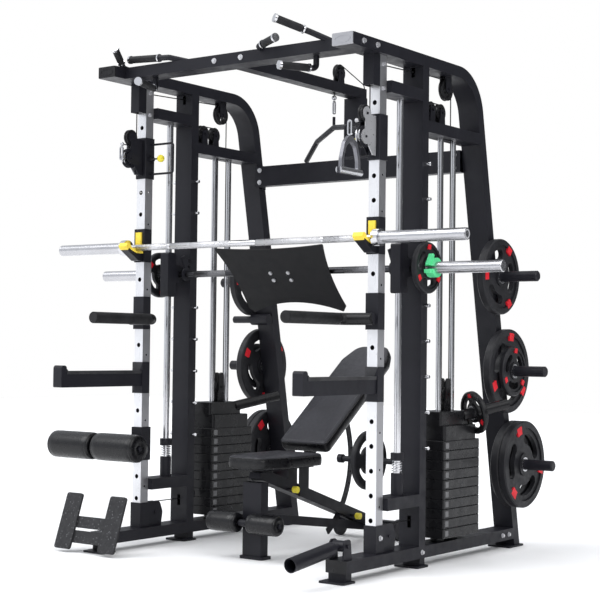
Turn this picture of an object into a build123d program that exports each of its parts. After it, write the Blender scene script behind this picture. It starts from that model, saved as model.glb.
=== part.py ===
"""Smith machine with cable stacks, landmine, leg rollers, barbell and bench. Units mm.
X runs across the machine, Y to the rear, Z up; the floor is z = 0 and x = 0 is the middle."""
from build123d import *
from math import sin, cos, tan, acos, radians, sqrt
import os

os.makedirs("parts", exist_ok=True)

# ---- driving dimensions -------------------------------------------------------------------------
Y_SHIFT = 376.2        # the front face of the uprights sits this far ahead of the middle
HALF = 640             # centre line of each side frame
POST = 50              # square front upright
BEAM_W, BEAM_H = 100, 50
WALL = 3
RAIL_Z0, RAIL_Z1 = 38, 88
RAIL_FRONT = -240
TOP_Z = 2165           # upper face of the side arches
ARCH_LOW = TOP_Z - BEAM_H
ARCH_FRONT = -232
POST_FOOT_Y = 1200     # rear edge of the slanted rear post at the floor
POST_SLOPE = 0.1915    # how far the rear post leans forward for each mm of height
ARCH_R = 215           # outer bend radius
COL_Y0, COL_Y1 = 295, 345
ROD_Y, ROD_D = 197, 30
STACK_ROD_Y, STACK_ROD_D = (528, 638), 25
PIN_Z = [500 + 150 * i for i in range(9)]
PIN_D, PIN_OUT = 16, 78
HOLE_Z = [220 + 100 * i for i in range(18)]
SIDE_HOLE_Z = [275 + 150 * i for i in range(11)]
BRACE_Z0, BRACE_Z1 = 1840, 1890
CROSS_Y0, CROSS_Y1 = 785, 835
CROSS_Z0, CROSS_Z1 = 1722, 1822
STACK_Y0, STACK_Y1, STACK_W = 428, 738, 176
PLATE_T, PLATE_N, STACK_Z0 = 41.5, 10, 110
STACK_Z1 = STACK_Z0 + PLATE_T * PLATE_N
CABLE_D = 5
CABLE_TOP = 1895       # where the moving strands meet the fixed ones
FLOAT_Y, FLOAT_Z, FLOAT_R = 583, 720, 32
ARCH_PULLEY = (567.5, 2058, 48)
BRACE_PULLEYS = ((516.7, 1950, 37.5), (433, 1950, 37.5))
LOW_PULLEY = (108, 150, 42)
BASE_PULLEY = (380, 215.5)
LAT_PULLEY = (665, 2216, 40)
SMITH_Y, SMITH_Z = 254, 1255
BAR_Y, BAR_Z = -42, 1363.5
BAR_HALF = 1100
SLEEVE_D = 50
HORN_D, HORN_TIP = 48, 912
HORN_Z = (1250, 820, 390)
BENCH_HINGE = (400, 420)
BACK_ANGLE = 37
SIDES = (-1, 1)


# ---- small builders -----------------------------------------------------------------------------
def box(x0, x1, y0, y1, z0, z1):
    x0, x1 = min(x0, x1), max(x0, x1)
    return Pos((x0 + x1) / 2, (y0 + y1) / 2, (z0 + z1) / 2) * Box(x1 - x0, y1 - y0, z1 - z0)


def rod(axis, a, b, c1, c2, d):
    """Round bar from a to b along an axis; c1, c2 are the other two coordinates in x, y, z order."""
    a, b = min(a, b), max(a, b)
    m, h = (a + b) / 2, b - a
    if axis == "x":
        return Pos(m, c1, c2) * Rot(0, 90, 0) * Cylinder(d / 2, h)
    if axis == "y":
        return Pos(c1, m, c2) * Rot(90, 0, 0) * Cylinder(d / 2, h)
    return Pos(c1, c2, m) * Cylinder(d / 2, h)


def stick(p, q, d):
    """Round bar between two points."""
    p, q = Vector(*p), Vector(*q)
    v = q - p
    pl = Plane(origin=(p + q) * 0.5, z_dir=v.normalized())
    return pl * Cylinder(d / 2, v.length)


def bent(points, radius, d):
    """Round bar along straight runs joined by tangent bends."""
    path = FilletPolyline(*points, radius=radius)
    start = Plane(origin=path @ 0, z_dir=path % 0)
    return sweep(start * Circle(d / 2), path=path)


def beam(axis, a, b, c1, c2, w, h, t=WALL):
    """Hollow rectangular tube; w and h are the outer sizes along the other two axes."""
    def solid(w, h, e):
        if axis == "x":
            return box(a - e, b + e, c1 - w / 2, c1 + w / 2, c2 - h / 2, c2 + h / 2)
        if axis == "y":
            return box(c1 - w / 2, c1 + w / 2, a - e, b + e, c2 - h / 2, c2 + h / 2)
        return box(c1 - w / 2, c1 + w / 2, c2 - h / 2, c2 + h / 2, a - e, b + e)
    return solid(w, h, 0) - solid(w - 2 * t, h - 2 * t, 1)


def outline(pts):
    """Face from corner points (u, v, corner radius)."""
    n = len(pts)
    corners = []
    for i in range(n):
        p = Vector(pts[i][0], pts[i][1])
        r = pts[i][2] if len(pts[i]) > 2 else 0
        if r == 0:
            corners.append((p, p, None))
            continue
        a, b = Vector(*pts[i - 1][:2]), Vector(*pts[(i + 1) % n][:2])
        u, v = (a - p).normalized(), (b - p).normalized()
        half = acos(max(-1, min(1, u.dot(v)))) / 2
        t = r / tan(half)
        w = (u + v).normalized()
        c = p + w * (r / sin(half))
        corners.append((p + u * t, p + v * t, c - w * r))
    edges = []
    for i in range(n):
        s, e, m = corners[i]
        if m is not None:
            edges.append(ThreePointArc(s, m, e))
        nxt = corners[(i + 1) % n][0]
        if (nxt - e).length > 1e-6:
            edges.append(Line(e, nxt))
    return make_face(Curve() + edges)


def prism(axis, pts, lo, hi):
    """Outline pushed from lo to hi along an axis; outline coordinates are the other two axes."""
    lo, hi = min(lo, hi), max(lo, hi)
    face = outline(pts)
    if axis == "x":
        return extrude(Plane.YZ.offset(lo) * face, hi - lo)
    if axis == "y":
        return extrude(Plane.XZ.offset(-hi) * face, hi - lo)
    return extrude(Plane.XY.offset(lo) * face, hi - lo)


def group(items):
    return Compound(children=[s for it in items for s in it.solids()])


def save(name, items):
    items = items if isinstance(items, (list, tuple)) else [items]
    shape = Pos(0, -Y_SHIFT, 0) * group(items)
    export_step(shape, os.path.join("parts", name + ".step"))
    print(name, len(shape.solids()))


def post_rear(z):
    return POST_FOOT_Y - POST_SLOPE * z


POST_T = BEAM_H * sqrt(1 + POST_SLOPE ** 2)      # depth of the leaning post measured level


def post_mid(z):
    return post_rear(z) - POST_T / 2


def pulley(x, y, z, r, w=18, bore=12.6, spokes=5):
    """Grooved wheel on an axle along x, lightened with round holes."""
    g = [(0, -w / 2), (r, -w / 2), (r, -w / 2 + 3), (r - 6, -1.5), (r - 6, 1.5), (r, w / 2 - 3),
         (r, w / 2), (0, w / 2)]
    body = revolve(Plane.XZ * make_face(Polyline(*g, close=True)), Axis.Z)
    body -= Cylinder(bore / 2, w + 2)
    if r > 30:
        ring = (r - 8 + bore / 2) / 2
        hole = (r - 8 - bore / 2) / 2 - 4
        for i in range(spokes):
            a = radians(360 / spokes * i)
            body -= Pos(ring * cos(a), ring * sin(a), 0) * Cylinder(hole, w + 2)
    return Pos(x, y, z) * Rot(0, 90, 0) * body


def weight_plate(d, t, bore=51):
    """Three-grip plate, axis along z, centred."""
    r = d / 2
    body = Cylinder(r, t)
    body = chamfer(body.edges().filter_by(GeomType.CIRCLE), min(5, t / 5))
    pocket = Cylinder(r * 0.84, t * 0.2) - Cylinder(max(bore / 2 + 14, r * 0.26), t * 0.2)
    for s in SIDES:
        body -= Pos(0, 0, s * (t / 2 - t * 0.1)) * pocket
    slot = SlotArc(CenterArc((0, 0), r * 0.6, 0, 56), r * 0.25)
    for i in range(3):
        body -= Rot(0, 0, 62 + 120 * i) * extrude(Pos(0, 0, -t) * slot, 2 * t)
    body -= Cylinder(bore / 2, t + 2)
    return body


def collar_on_post(s, z0, z1, rear=56, t=5.5):
    """Open channel that hugs the front and sides of an upright."""
    x = s * HALF
    out = box(x - 25.5 - t, x + 25.5 + t, -t - 0.5, rear, z0, z1)
    return out - box(x - 25.5, x + 25.5, -0.5, rear + 5, z0 - 1, z1 + 1)


# ---- frame --------------------------------------------------------------------------------------
def arch_outline(inset=0.0):
    out, inn = TOP_Z - inset, ARCH_LOW + inset
    k = sqrt(1 + POST_SLOPE ** 2)
    ro = POST_FOOT_Y - inset * k
    ri = POST_FOOT_Y - POST_T + inset * k
    zb = 8 if inset == 0 else 0
    f = ARCH_FRONT if inset == 0 else ARCH_FRONT - 10
    return [(f, out), (ro - POST_SLOPE * out, out, ARCH_R - inset), (ro - POST_SLOPE * zb, zb),
            (ri - POST_SLOPE * zb, zb), (ri - POST_SLOPE * inn, inn, ARCH_R - BEAM_H + inset), (f, inn)]


def arch_solid(s, inset=0.0):
    h = BEAM_W / 2 - inset
    return prism("x", arch_outline(inset), s * HALF - h, s * HALF + h)


def side_arches():
    return [arch_solid(s) - arch_solid(s, WALL) for s in SIDES]


def base_rails():
    out = []
    for s in SIDES:
        z = (RAIL_Z0 + RAIL_Z1) / 2
        out.append(beam("y", RAIL_FRONT, 1150, s * HALF, z, BEAM_W, BEAM_H) - arch_solid(s))
    return out


def rail_feet():
    out = []
    for s in SIDES:
        x = s * HALF
        for y0, y1 in ((-279, -190), (270, 360)):
            pad = [(x - 60, y0, 8), (x + 60, y0, 8), (x + 60, y1, 8), (x - 60, y1, 8)]
            out.append(prism("z", pad, 0, 8))
            out.append(box(x - 42, x + 42, max(y0 + 45, RAIL_FRONT + 6), y1 - 6, 8, RAIL_Z0))
        pad = [(x - 60, 1085, 10), (x + 60, 1085, 10), (x + 60, 1225, 10), (x - 60, 1225, 10)]
        out.append(prism("z", pad, 0, 8))
    return out


def uprights():
    out = []
    for s in SIDES:
        x = s * HALF
        u = beam("z", RAIL_Z1, ARCH_LOW, x, POST / 2, POST, POST)
        for z in HOLE_Z:
            u -= rod("y", -5, POST + 5, x, z, 20)
        for z in SIDE_HOLE_Z:
            u -= rod("x", x - 30, x + 30, POST / 2, z, 9)
        u -= box(x - 10, x + 10, -1, POST + 1, 2005, 2095)
        out.append(u)
    return out


def upright_sockets():
    out = []
    y, z, r = LOW_PULLEY
    for s in SIDES:
        x = s * HALF
        sl = box(x - 30, x + 30, -5, 55, RAIL_Z1, 200)
        sl -= box(x - 25.1, x + 25.1, -0.1, 50.1, RAIL_Z1 - 1, 201)
        out.append(sl)
        for k in SIDES:
            cheek = [(55, RAIL_Z1), (150, RAIL_Z1), (160, 150, 30), (140, 198, 20), (55, 200)]
            out.append(prism("x", cheek, x + k * 13, x + k * 19) - rod("x", x - 40, x + 40, y, z, 12))
        out.append(rod("x", x - 24, x + 24, y, z, 12))
    return out


def columns():
    out = []
    for s in SIDES:
        x = s * HALF
        c = beam("z", RAIL_Z1, ARCH_LOW, x, (COL_Y0 + COL_Y1) / 2, BEAM_W, POST)
        for z in PIN_Z:
            c -= rod("x", x - 60, x + 60, 320, z, PIN_D + 0.2)
        c -= box(x - 9, x + 9, COL_Y0 - 1, COL_Y1 + 1, 2070, ARCH_LOW - 4)
        c -= box(x - 9, x + 9, COL_Y0 - 1, COL_Y1 + 1, 165, 215)
        out.append(c)
    return out


def catch_pins():
    out = []
    for s in SIDES:
        for z in PIN_Z:
            p = rod("x", s * HALF - PIN_OUT, s * HALF + PIN_OUT, 320, z, PIN_D)
            out.append(chamfer(p.edges().filter_by(GeomType.CIRCLE), 1.5))
    return out


def side_braces():
    out = []
    for s in SIDES:
        x = s * HALF
        b = beam("y", COL_Y1, 830, x, (BRACE_Z0 + BRACE_Z1) / 2, BEAM_W, BEAM_H) - arch_solid(s)
        for y in STACK_ROD_Y:
            b -= rod("z", BRACE_Z0 - 5, BRACE_Z0 + 10, x, y, STACK_ROD_D + 0.2)
        b -= box(x - 8, x + 8, 543, 623, BRACE_Z0 - 1, BRACE_Z1 + 1)
        b -= box(x - 8, x + 8, 384, 402, BRACE_Z0 - 1, BRACE_Z1 + 1)
        out.append(b)
        for z0 in (1965, 258):
            t = beam("y", POST, COL_Y0, x, z0 + 25, BEAM_W, BEAM_H)
            t += box(x - 50, x + 50, POST, POST + WALL, z0, z0 + BEAM_H)
            t -= rod("z", z0 - 1, z0 + 51, x, ROD_Y, ROD_D + 0.2)
            out.append(t)
    return out


def crossbeams():
    """Top front beam and rear beam, the rear one with end plates and the lug of the lat cable."""
    top = beam("x", -HALF + 50, HALF - 50, -120, 2140, 100, BEAM_H)
    return [top] + rear_crossbeam()


def center_beam():
    b = beam("y", -70, CROSS_Y1 + 20, 0, 2140, 60, BEAM_H)
    b -= box(-9, 9, 612, 642, 2110, 2170)
    drop = beam("z", CROSS_Z1, ARCH_LOW, 0, (CROSS_Y0 + CROSS_Y1) / 2, BEAM_W, POST)
    return [b, drop]


def rear_crossbeam():
    b = beam("x", -HALF + 50, HALF - 50, (CROSS_Y0 + CROSS_Y1) / 2, 1772, 50, 100)
    ends = []
    for s in SIDES:
        f = s * (HALF - 50)
        ends.append(box(f, f - s * 8, CROSS_Y1, CROSS_Y1 + 30, 1712, 1832))
    lug = box(-11, 11, CROSS_Y1, 894, 1774, 1786)
    return [b, lug] + ends


def guide_rods():
    out = []
    for s in SIDES:
        x = s * HALF
        out.append(rod("z", 262, 2011, x, ROD_Y, ROD_D))
        for y in STACK_ROD_Y:
            out.append(rod("z", RAIL_Z1, 1880, x, y, STACK_ROD_D))
    return out


def buffer_springs():
    """Base tube, coil spring and rubber ring under each carriage."""
    out = []
    for s in SIDES:
        x = s * HALF
        out.append(rod("z", 308, 400, x, ROD_Y, 52) - rod("z", 300, 410, x, ROD_Y, ROD_D + 0.4))
        coil = Helix(pitch=10.4, height=46.8, radius=21)
        ring = Plane(origin=coil @ 0, z_dir=coil % 0) * Circle(2.5)
        out.append(Pos(x, ROD_Y, 402.7) * sweep(ring, path=coil, is_frenet=True))
        out.append(rod("z", 452.4, 484, x, ROD_Y, 56) - rod("z", 440, 490, x, ROD_Y, ROD_D + 0.4))
    return out


def storage_horns():
    out = []
    for s in SIDES:
        f = s * (HALF + 50)
        for z in HORN_Z:
            h = rod("x", f, s * HORN_TIP, post_mid(z), z, HORN_D)
            out.append(chamfer(h.edges().filter_by(GeomType.CIRCLE).sort_by(Axis.X)[-1 if s > 0 else 0], 5))
    f = HALF - 50
    out.append(rod("x", 284, f, 320, 434, 25))
    out.append(rod("x", 262, 284, 320, 434, 38))
    zs = 1057
    yf = post_rear(zs + 28) - POST_T - 28.2
    out.append(rod("x", -HALF - 52, -HALF + 52, yf, zs, 56))
    out.append(rod("x", -HALF - 170, -HALF - 52, yf, zs, 36))
    return out


def stored_plates():
    out = []
    stack = {1250: ((345, 38),), 820: ((385, 38), (230, 26)), 390: ((400, 40), (400, 36))}
    for s in SIDES:
        for i, z in enumerate(HORN_Z):
            x = HALF + 52
            for d, t in stack[z]:
                turn = Rot(0, 90, 0) if s > 0 else Rot(0, -90, 0)
                out.append(Pos(s * (x + t / 2), post_mid(z), z) * turn * Rot(0, 0, 25 * i) * weight_plate(d, t))
                x += t + 0.5
    out.append(Pos(418, 320, 434) * Rot(0, 90, 0) * weight_plate(255, 26, 27))
    return out


def bolt(axis, sign, x, y, z, d=20):
    """Washer and domed hex head standing on a face; the face is at the given point."""
    b = Pos(0, 0, 1) * Cylinder(d * 0.6, 2) + Pos(0, 0, 2) * extrude(RegularPolygon(d * 0.45, 6), 7)
    turn = {"x": Rot(0, 90 * sign, 0), "y": Rot(-90 * sign, 0, 0), "z": Rot(0, 0 if sign > 0 else 180, 0)}[axis]
    return Pos(x, y, z) * turn * b


def frame_bolts():
    out = []
    for s in SIDES:
        f = s * (HALF + 50)
        for y in (-160, -60):
            out.append(bolt("x", s, f, y, 2140))
        for y, z in ((1030, 63), (1090, 63), (320, 63)):
            out.append(bolt("x", s, f, y, z, 18))
        out.append(bolt("x", s, s * (HALF + 30), 25, 150, 18))
        out.append(bolt("y", -1, s * 72, -170, 2140))
        for z in (1742, 1802):
            out.append(bolt("y", -1, s * 560, CROSS_Y0, z))
        for k in SIDES:
            for z in (1980, 2080):
                out.append(bolt("x", k, s * HALF + k * 25, 25, z, 16))
        out.append(bolt("z", 1, s * HALF, -215, RAIL_Z1, 16) if s < 0 else bolt("z", 1, s * HALF, -150, RAIL_Z1, 16))
    return out


def end_caps():
    """Tube plugs; the front ones carry a plain raised oval."""
    out = []
    for s in SIDES:
        x = s * HALF
        cap = box(x - 50, x + 50, ARCH_FRONT - 6, ARCH_FRONT, ARCH_LOW, TOP_Z)
        cap = fillet(cap.edges().filter_by(Axis.Y), 4)
        out.append(cap)
        oval = Plane.XZ.offset(-(ARCH_FRONT - 6)) * (Pos(x, 2140) * (Ellipse(38, 16) - Ellipse(34, 12)))
        out.append(extrude(oval, 1.5))
        out.append(prism("z", [(x - 50, RAIL_FRONT), (x - 50, RAIL_FRONT - 6, 5), (x + 50, RAIL_FRONT - 6, 5),
                               (x + 50, RAIL_FRONT)], RAIL_Z0, RAIL_Z1))
    out.append(box(-30, 30, CROSS_Y1 + 20, CROSS_Y1 + 24, 2115, 2165))
    return out


def pulley_brackets():
    out = []
    for s in SIDES:
        x = s * HALF
        y, z, r = ARCH_PULLEY
        for k in SIDES:
            ch = [(y - 24, ARCH_LOW), (y + 24, ARCH_LOW), (y + 20, z - 14, 10), (y - 20, z - 14, 10)]
            out.append(prism("x", ch, x + k * 12, x + k * 17) - rod("x", x - 30, x + 30, y, z, 12))
        out.append(rod("x", x - 24, x + 24, y, z, 12))
        for y, z, r in BRACE_PULLEYS:
            for k in SIDES:
                ch = [(y - 22, BRACE_Z1), (y + 22, BRACE_Z1), (y + 16, z + 16, 10), (y - 16, z + 16, 10)]
                out.append(prism("x", ch, x + k * 12, x + k * 17) - rod("x", x - 30, x + 30, y, z, 12))
            out.append(rod("x", x - 24, x + 24, y, z, 12))
        shell = box(x - 25, x + 25, -50, 0, 1985, ARCH_LOW)
        shell -= box(x - 22, x + 22, -47, 1, 1984, ARCH_LOW - 3)
        out.append(shell)
        out.append(rod("x", x - 22, x + 22, -6, 2050, 10))
        out.append(pulley(x, -6, 2050, 33, 14, 10.2))
        by, bz = BASE_PULLEY
        out.append(rod("x", x - 24, x + 24, by, bz, 10))
        out.append(pulley(x, by, bz, 22, 14, 10.2))
        for k in SIDES:
            ch = [(COL_Y1, bz - 20), (by + 14, bz - 17, 8), (by + 14, bz + 17, 8), (COL_Y1, bz + 20)]
            out.append(prism("x", ch, x + k * 10, x + k * 14) - rod("x", x - 30, x + 30, by, bz, 10))
    y, z, r = LAT_PULLEY
    for k in SIDES:
        ch = [(y - 24, TOP_Z), (y + 24, TOP_Z), (y + 16, z + 16, 10), (y - 16, z + 16, 10)]
        out.append(prism("x", ch, k * 12, k * 17) - rod("x", -30, 30, y, z, 12))
    out.append(rod("x", -24, 24, y, z, 12))
    return out


def yz(x, pts):
    return [(x, a, b) for a, b in pts]


def frame_cables():
    """Fixed runs: rear strand over the arch pulley to the trolley, front strand down to the low pulley."""
    out = []
    g = 3.2
    for s in SIDES:
        x = s * HALF
        y, z, r = ARCH_PULLEY
        top = z + r - g + 2.6
        pts = [(y + r - g, CABLE_TOP), (y + r - g, top), (-36, 2079.8), (-36, 2050)]
        out.append(bent(yz(x, pts), 29, CABLE_D))
        (y1, z1, r1), (y2, z2, r2) = BRACE_PULLEYS
        lt = z1 + r1 - g
        pts = [(y1 + r1 - g, CABLE_TOP), (y1 + r1 - g, lt), (y2 - r2 + g, lt), (y2 - r2 + g, 196.5), (62, 196.5)]
        out.append(bent(yz(x, pts), 18, CABLE_D))
        out.append(Pos(x, 62, 196.5) * Sphere(7))
    y, z, r = LAT_PULLEY
    pts = [(y - r + g, 2104), (y - r + g, z + r - g), (y + 30, z + r - g), (884, 2190), (884, 1794)]
    out.append(bent(yz(0, pts), 26, CABLE_D))
    out.append(Pos(0, 884, 1793) * Sphere(7))
    return out


def stack_cable(s):
    """Moving loop: two strands and the half turn under the floating pulley."""
    x = s * HALF
    y, z, r = FLOAT_Y, FLOAT_Z, FLOAT_R
    u = Plane.YZ.offset(x) * (Line((y - r, CABLE_TOP), (y - r, z)) + ThreePointArc((y - r, z), (y, z - r), (y + r, z))
                              + Line((y + r, z), (y + r, CABLE_TOP)))
    path = Wire(u.edges())
    return sweep(Plane(origin=(x, y - r, CABLE_TOP), z_dir=(0, 0, -1)) * Circle(CABLE_D / 2), path=path)


def pull_up(points, r=30):
    return bent(points, r, 25.4)


HANDLES = (
    # root on the beam, bends, free end; the last straight run carries the grip
    ((-600, -122, 2160), (-606, -165, 2166), (-575, -252, 2230)),
    ((-240, -120, 2160), (-325, -177, 2182), (-560, -162, 2199)),
    ((165, -115, 2162), (187, -195, 2168), (300, -236, 2183)),
    ((540, -120, 2150), (470, -217, 2190), (393, -345, 2230)),
    ((-452, -120, 2120), (-452, -120, 2062), (-378, -309, 2060)),
    ((430, -120, 2120), (430, -120, 2062), (359, -266, 2060)),
)


def handle_run(h):
    """Start and end of the gripped length of one handle."""
    a, b = Vector(*h[1]), Vector(*h[2])
    v = (b - a).normalized()
    return a + v * max(34, (b - a).length - 175), b, v


def pull_up_handles():
    out = []
    beam_box = box(-HALF, HALF, -170, -70, ARCH_LOW, TOP_Z)
    arches = [arch_solid(s) for s in SIDES]
    for h in HANDLES:
        a, b, v = handle_run(h)
        t = bent(h, 18, 25)
        t = t - beam_box
        for ar in arches:
            t = t - ar
        out.append(max(t.solids(), key=lambda q: q.volume))
    return out


def handle_grips():
    """Rubber sleeve, chrome ring and chrome end knob on every pull-up handle."""
    out = []
    for h in HANDLES:
        a, b, v = handle_run(h)
        pl = Plane(origin=a, z_dir=v)
        n = (b - a).length
        bore = pl * Pos(0, 0, n / 2) * Cylinder(12.6, n + 0.4)
        out.append(pl * Pos(0, 0, n / 2 + 4) * Cylinder(16, n - 9) - bore)
        out.append(pl * Pos(0, 0, -1) * Cylinder(18, 7) - pl * Cylinder(12.6, 30))
        out.append(pl * Pos(0, 0, n + 6) * Cylinder(18, 11))
    return out


# ---- weight stacks ------------------------------------------------------------------------------
def stack_plates():
    out = []
    for s in SIDES:
        x = s * HALF
        for i in range(PLATE_N):
            z0 = STACK_Z0 + PLATE_T * i
            p = box(x - STACK_W / 2, x + STACK_W / 2, STACK_Y0, STACK_Y1, z0, z0 + PLATE_T)
            p = fillet(p.edges().filter_by(Axis.Z), 6)
            p = chamfer(p.faces().sort_by(Axis.Z)[0].edges() + p.faces().sort_by(Axis.Z)[-1].edges(), 2.5)
            for y in STACK_ROD_Y:
                p -= rod("z", z0 - 1, z0 + PLATE_T + 1, x, y, STACK_ROD_D + 2)
            p -= rod("z", z0 - 1, z0 + PLATE_T + 1, x, FLOAT_Y, 30)
            out.append(p)
        for y in STACK_ROD_Y:
            out.append(rod("z", RAIL_Z1, STACK_Z0, x, y, 60) - rod("z", 80, 115, x, y, STACK_ROD_D + 0.4))
    return out


def head_dir():
    a, e = radians(28), radians(12)
    return Vector(sin(a) * cos(e), cos(a) * cos(e), sin(e))


def head_root(s):
    return Vector(s * HALF + 45, 625, 622)


def stack_head(s):
    x = s * HALF
    z0 = STACK_Z1 + 0.4
    low = box(x - 86, x + 86, 440, 712, z0, 588)
    low = fillet(low.edges().filter_by(Axis.Z), 12)
    up = fillet(box(x - 70, x + 70, 432, 672, 588, 648).edges().filter_by(Axis.Z), 10)
    head = low + up
    for y in STACK_ROD_Y:
        head -= rod("z", z0 - 5, 660, x, y, STACK_ROD_D + 2)
    stem = rod("z", 135, z0, x, FLOAT_Y, 24)
    d, r = head_dir(), head_root(s)
    horn = stick(r + d * 20, r + d * 258, HORN_D)
    horn = horn - up - low
    horn = max(horn.solids(), key=lambda q: q.volume)
    cheeks = []
    for k in SIDES:
        ch = [(FLOAT_Y - 22, 648), (FLOAT_Y + 22, 648), (FLOAT_Y + 19, 790, 18), (FLOAT_Y - 19, 790, 18)]
        cheeks.append(prism("x", ch, x + k * 11, x + k * 17) - rod("x", x - 30, x + 30, FLOAT_Y, FLOAT_Z, 10))
    axle = rod("x", x - 22, x + 22, FLOAT_Y, FLOAT_Z, 10)
    wheel = pulley(x, FLOAT_Y, FLOAT_Z, 31.5, 18, 10.2)
    extra = [head_plate()] if s > 0 else []
    return [head, stem, horn] + cheeks + [axle, wheel] + extra


def head_plate():
    d, r = head_dir(), head_root(1)
    return Plane(origin=r + d * 84, z_dir=d) * weight_plate(190, 24)


# ---- smith bar ----------------------------------------------------------------------------------
def smith_carriage():
    out = []
    for s in SIDES:
        x = s * HALF
        b = [(168, 1148, 10), (226, 1148, 10), (226, 1215, 6), (282, 1225, 14), (282, 1288, 14),
             (226, 1298, 6), (226, 1356, 10), (168, 1356, 10)]
        c = prism("x", b, x - 24, x + 24)
        c -= rod("z", 1140, 1360, x, ROD_Y, ROD_D + 6)
        c -= rod("x", x - 30, x + 30, SMITH_Y, SMITH_Z, 30.8)
        out.append(c)
        for z in (1150, 1306):
            bush = rod("z", z, z + 48, x, ROD_Y, ROD_D + 6) - rod("z", z - 1, z + 49, x, ROD_Y, ROD_D + 0.8)
            out.append(bush)
    return out


def smith_bar():
    shaft = rod("x", -720, 720, SMITH_Y, SMITH_Z, 30)
    out = [shaft]
    for s in SIDES:
        x = s * 576
        hub = rod("x", x - 4, x + 4, SMITH_Y, SMITH_Z, 62)
        arm = []
        for a0, a1, r0, r1 in ((84, 118, 20, 88.8), (58, 84, 76.8, 88.8), (58, 84, 46, 56.5)):
            pts = [(SMITH_Y + r * cos(radians(a)), SMITH_Z + r * sin(radians(a)))
                   for r, ang in ((r0, (a0, (a0 + a1) / 2, a1)), (r1, (a1, (a0 + a1) / 2, a0))) for a in ang]
            arm.append(prism("x", [(p[0], p[1], 0) for p in pts], x - 4, x + 4))
        out.append(hub - rod("x", x - 6, x + 6, SMITH_Y, SMITH_Z, 30))
        out += [arm[0] - hub, arm[1], arm[2]]
    for x in (-84, -15, 15, 84):
        out.append(rod("x", x - 3, x + 3, SMITH_Y, SMITH_Z, 44) - rod("x", x - 5, x + 5, SMITH_Y, SMITH_Z, 30))
    return out


def smith_sleeves():
    out = []
    for s in SIDES:
        out.append(rod("x", s * 720, s * 727, SMITH_Y, SMITH_Z, 66))
        sl = rod("x", s * 727, s * BAR_HALF, SMITH_Y, SMITH_Z, SLEEVE_D)
        out.append(chamfer(sl.edges().filter_by(GeomType.CIRCLE).sort_by(Axis.X)[-1 if s > 0 else 0], 3))
    return out


def smith_weights():
    """Plates on both sleeves and a lever clamp on the right one."""
    out = []
    for s in SIDES:
        turn = Rot(0, 90, 0) if s > 0 else Rot(0, -90, 0)
        out.append(Pos(s * 741, SMITH_Y, SMITH_Z) * turn * Rot(0, 0, 30) * weight_plate(215, 26))
    ring = rod("x", 756, 792, SMITH_Y, SMITH_Z, 82) - rod("x", 750, 800, SMITH_Y, SMITH_Z, SLEEVE_D + 0.4)
    ring -= box(750, 800, SMITH_Y - 60, SMITH_Y - 20, SMITH_Z - 7, SMITH_Z + 7)
    lever = prism("x", [(SMITH_Y - 52, SMITH_Z + 10, 4), (SMITH_Y - 30, SMITH_Z + 8, 4), (SMITH_Y - 8, SMITH_Z + 52, 6),
                        (SMITH_Y - 22, SMITH_Z + 60, 6)], 764, 784)
    lug = box(760, 788, SMITH_Y - 54, SMITH_Y - 30, SMITH_Z - 24, SMITH_Z - 8)
    ring = ring + lever + lug
    out.append(ring)
    return out


def leg_press_plate():
    """Waisted foot plate clamped under the front of the bar, its face turned down to the user."""
    top, foot, waist = 300, 272, 268
    e = [ThreePointArc((-top, 165), (0, 150), (top, 165)),
         ThreePointArc((top, 165), (waist, 0), (foot, -178)), Line((foot, -178), (foot - 24, -206)),
         ThreePointArc((foot - 24, -206), (0, -150), (24 - foot, -206)), Line((24 - foot, -206), (-foot, -178)),
         ThreePointArc((-foot, -178), (-waist, 0), (-top, 165))]
    plate = extrude(make_face(Curve() + e), 6)
    plate = fillet(plate.edges().filter_by(Axis.Z), 6)
    tilt = radians(41)
    pl = Plane(origin=(0, SMITH_Y, SMITH_Z), x_dir=(1, 0, 0), z_dir=(0, -cos(tilt), -sin(tilt)))
    out = [pl * Pos(0, 0, 27) * plate]
    for x in (-49, 49):
        clamp = Pos(x, 0, 0) * Rot(0, 90, 0) * Cylinder(25, 50)
        clamp += Pos(x, 0, 14) * Box(50, 50, 26)
        clamp -= Rot(0, 90, 0) * Cylinder(15.4, 400)
        out.append(pl * clamp)
        for v in (-20, 20):
            out.append(pl * Pos(x, v, 33) * (Pos(0, 0, 2.5) * Cylinder(9, 5)))
    return out


# ---- barbell ------------------------------------------------------------------------------------
def barbell_shaft():
    return [rod("x", -675, 675, BAR_Y, BAR_Z, 28)] + \
           [rod("x", s * 675, s * 705, BAR_Y, BAR_Z, 72) for s in SIDES] + \
           [rod("x", s * 705, s * (BAR_HALF - 4), BAR_Y, BAR_Z, 26) for s in SIDES]


def barbell_sleeves():
    out = []
    for s in SIDES:
        t = rod("x", s * 705.4, s * BAR_HALF, BAR_Y, BAR_Z, SLEEVE_D)
        t = chamfer(t.edges().filter_by(GeomType.CIRCLE).sort_by(Axis.X)[-1 if s > 0 else 0], 2)
        out.append(t - rod("x", s * 700, s * (BAR_HALF - 3.6), BAR_Y, BAR_Z, 27))
    return out


# ---- things hung on the uprights ----------------------------------------------------------------
def j_hooks():
    out = []
    for s in SIDES:
        x = s * HALF
        out.append(collar_on_post(s, 1300, 1452, 42, 5.5))
        prof = [(-6, 1305), (-34, 1305, 10), (-106, 1350), (-100, 1360), (-84, 1352), (-50, 1339), (-6, 1339)]
        out.append(prism("x", prof, x - 22, x + 22))
    return out


def j_hook_liners():
    out = []
    for s in SIDES:
        x = s * HALF
        prof = [(-106, 1350), (-100, 1360), (-84, 1352), (-50, 1339), (-6, 1339), (-6, 1349), (-48, 1349),
                (-78, 1360), (-96, 1382, 4), (-110, 1382, 5), (-119, 1366, 4)]
        out.append(prism("x", prof, x - 24, x + 24))
        out.append(box(x - 16, x + 16, -15, -6, 1349, 1436))
    return out


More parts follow.
